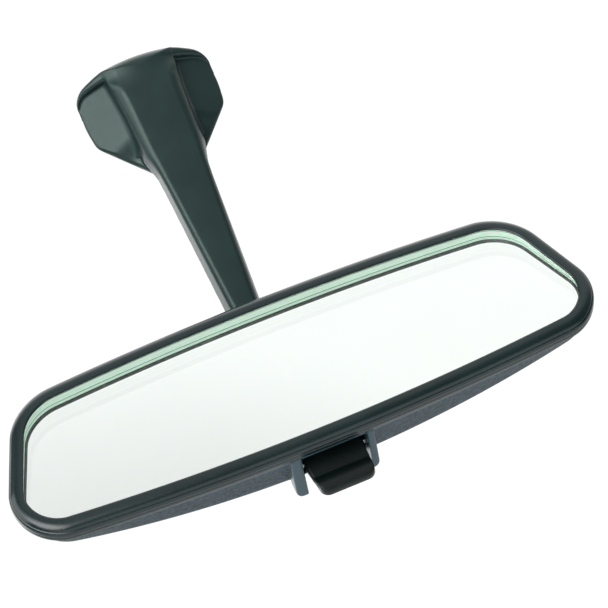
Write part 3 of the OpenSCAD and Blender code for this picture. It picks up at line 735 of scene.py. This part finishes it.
# ------------------------------------------------------------------ floor
FLOOR_DROP, FLOOR_HALF = 0.9, 1.3
floor_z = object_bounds()[0][2] - FLOOR_DROP
me = bpy.data.meshes.new("floor")
me.from_pydata([(x * FLOOR_HALF, y * FLOOR_HALF, floor_z)
                for x, y in ((-1, -1), (1, -1), (1, 1), (-1, 1))], [], [(0, 1, 2, 3)])
floor = bpy.data.objects.new("floor", me)
bpy.context.scene.collection.objects.link(floor)
give(floor, FLOOR)

# ------------------------------------------------------------------ studio light
world = bpy.data.worlds.new("studio")
bpy.context.scene.world = world
world.use_nodes = True
wt = world.node_tree
toward = wt.nodes.new("ShaderNodeTexCoord").outputs["Generated"]


def lobe(direction, *stops):
    """Grey level by how closely a ray runs along a direction, from (cosine, level) stops."""
    d = wt.nodes.new("ShaderNodeVectorMath")
    d.operation = "DOT_PRODUCT"
    wt.links.new(toward, d.inputs[0])
    d.inputs[1].default_value = Vector(direction).normalized()
    return ramp(wt, d.outputs["Value"], [(at, grey(level)) for at, level in stops])


def maths(op, *values):
    m = wt.nodes.new("ShaderNodeMath")
    m.operation = op
    for k, value in enumerate(values):
        if isinstance(value, float):
            m.inputs[k].default_value = value
        else:
            wt.links.new(value, m.inputs[k])
    return m.outputs["Value"]


# White room, dark low at the front right
room = maths("MAXIMUM", lobe((0.74, -0.67, 0.0), (0.4, 1.0), (0.72, 0.62), (0.9, 0.2), (1.0, 0.1)),
             lobe((0, 0, 1), (0.1, 0.0), (0.4, 1.0)))
# Dark patches below, at the left, at the upper left and a faint one at the upper front
for shade in (((0, -0.5, -0.87), (0.3, 1.0), (0.62, 0.25)),
              ((-0.94, -0.3, 0.14), (0.78, 1.0), (0.92, 0.12)),
              ((-0.75, -0.5, 0.4), (0.64, 1.0), (0.84, 0.15)),
              ((0.02, -0.82, 0.57), (0.97, 1.0), (0.99, 0.78))):
    room = maths("MULTIPLY", room, lobe(*shade))
# Bright panel at the front left, and soft ones at the upper back left and overhead
PANEL_GAIN, SOFT_GAIN, ROOM_STRENGTH = 7.5, 1.8, 1.05
panel = lobe((-0.44, -0.9, -0.04), (0.9, 0.0), (0.985, 1.0))
upper = maths("MAXIMUM", lobe((-0.6, 0.6, 0.53), (0.8, 0.0), (0.96, 1.0)),
              lobe((0.12, 0.1, 0.98), (0.76, 0.0), (0.92, 0.8)))
room = maths("MULTIPLY_ADD", panel, PANEL_GAIN, room)
room = maths("MULTIPLY_ADD", upper, SOFT_GAIN, room)
lit = wt.nodes["Background"]
wt.links.new(room, lit.inputs["Color"])
lit.inputs["Strength"].default_value = ROOM_STRENGTH
# Seen directly, the room is a plain white backdrop
plain = wt.nodes.new("ShaderNodeBackground")
plain.inputs["Color"].default_value = (1, 1, 1, 1)
plain.inputs["Strength"].default_value = ROOM_STRENGTH
seen = wt.nodes.new("ShaderNodeLightPath")
mix = wt.nodes.new("ShaderNodeMixShader")
wt.links.new(seen.outputs["Is Camera Ray"], mix.inputs[0])
wt.links.new(lit.outputs[0], mix.inputs[1])
wt.links.new(plain.outputs[0], mix.inputs[2])
wt.links.new(mix.outputs[0], wt.nodes["World Output"].inputs["Surface"])

centre = Vector(head_to_row((0, 10, 20)))
key_data = bpy.data.lights.new("key", "AREA")
key_data.shape = "RECTANGLE"
key_data.size, key_data.size_y = 0.8, 0.8
key_data.energy = 6
key = bpy.data.objects.new("key", key_data)
key.location = centre + Vector((-0.9, -0.5, 0.35))
key.rotation_euler = (centre - key.location).to_track_quat("-Z", "Y").to_euler()
bpy.context.scene.collection.objects.link(key)

# ------------------------------------------------------------------ camera, in the head frame
AZ, EL, ROLL = rad(-12.3755), rad(-35), rad(-28.5257)
PLACE = (-115.819, -591.096, -400.740)
SENSOR, FOCAL_TO_WIDTH = 36, 1920.388 / 608
cam_data = bpy.data.cameras.new("camera")
cam_data.sensor_width = SENSOR
cam_data.lens = FOCAL_TO_WIDTH * SENSOR
cam_data.clip_start, cam_data.clip_end = 0.01, 20
cam = bpy.data.objects.new("camera", cam_data)
bpy.context.scene.collection.objects.link(cam)
back = Vector((math.sin(AZ) * math.cos(EL), -math.cos(AZ) * math.cos(EL), math.sin(EL)))
right = (-back).cross(Vector((0, 0, 1))).normalized()
up = right.cross(-back)
rolled_right = right * math.cos(ROLL) + up * math.sin(ROLL)
rolled_up = -right * math.sin(ROLL) + up * math.cos(ROLL)
pose = Matrix((rolled_right, rolled_up, back)).transposed().to_4x4()
pose.translation = Vector(head_to_row(PLACE))
cam.matrix_world = pose
bpy.context.scene.camera = cam
bpy.context.scene.view_settings.view_transform = "Standard"
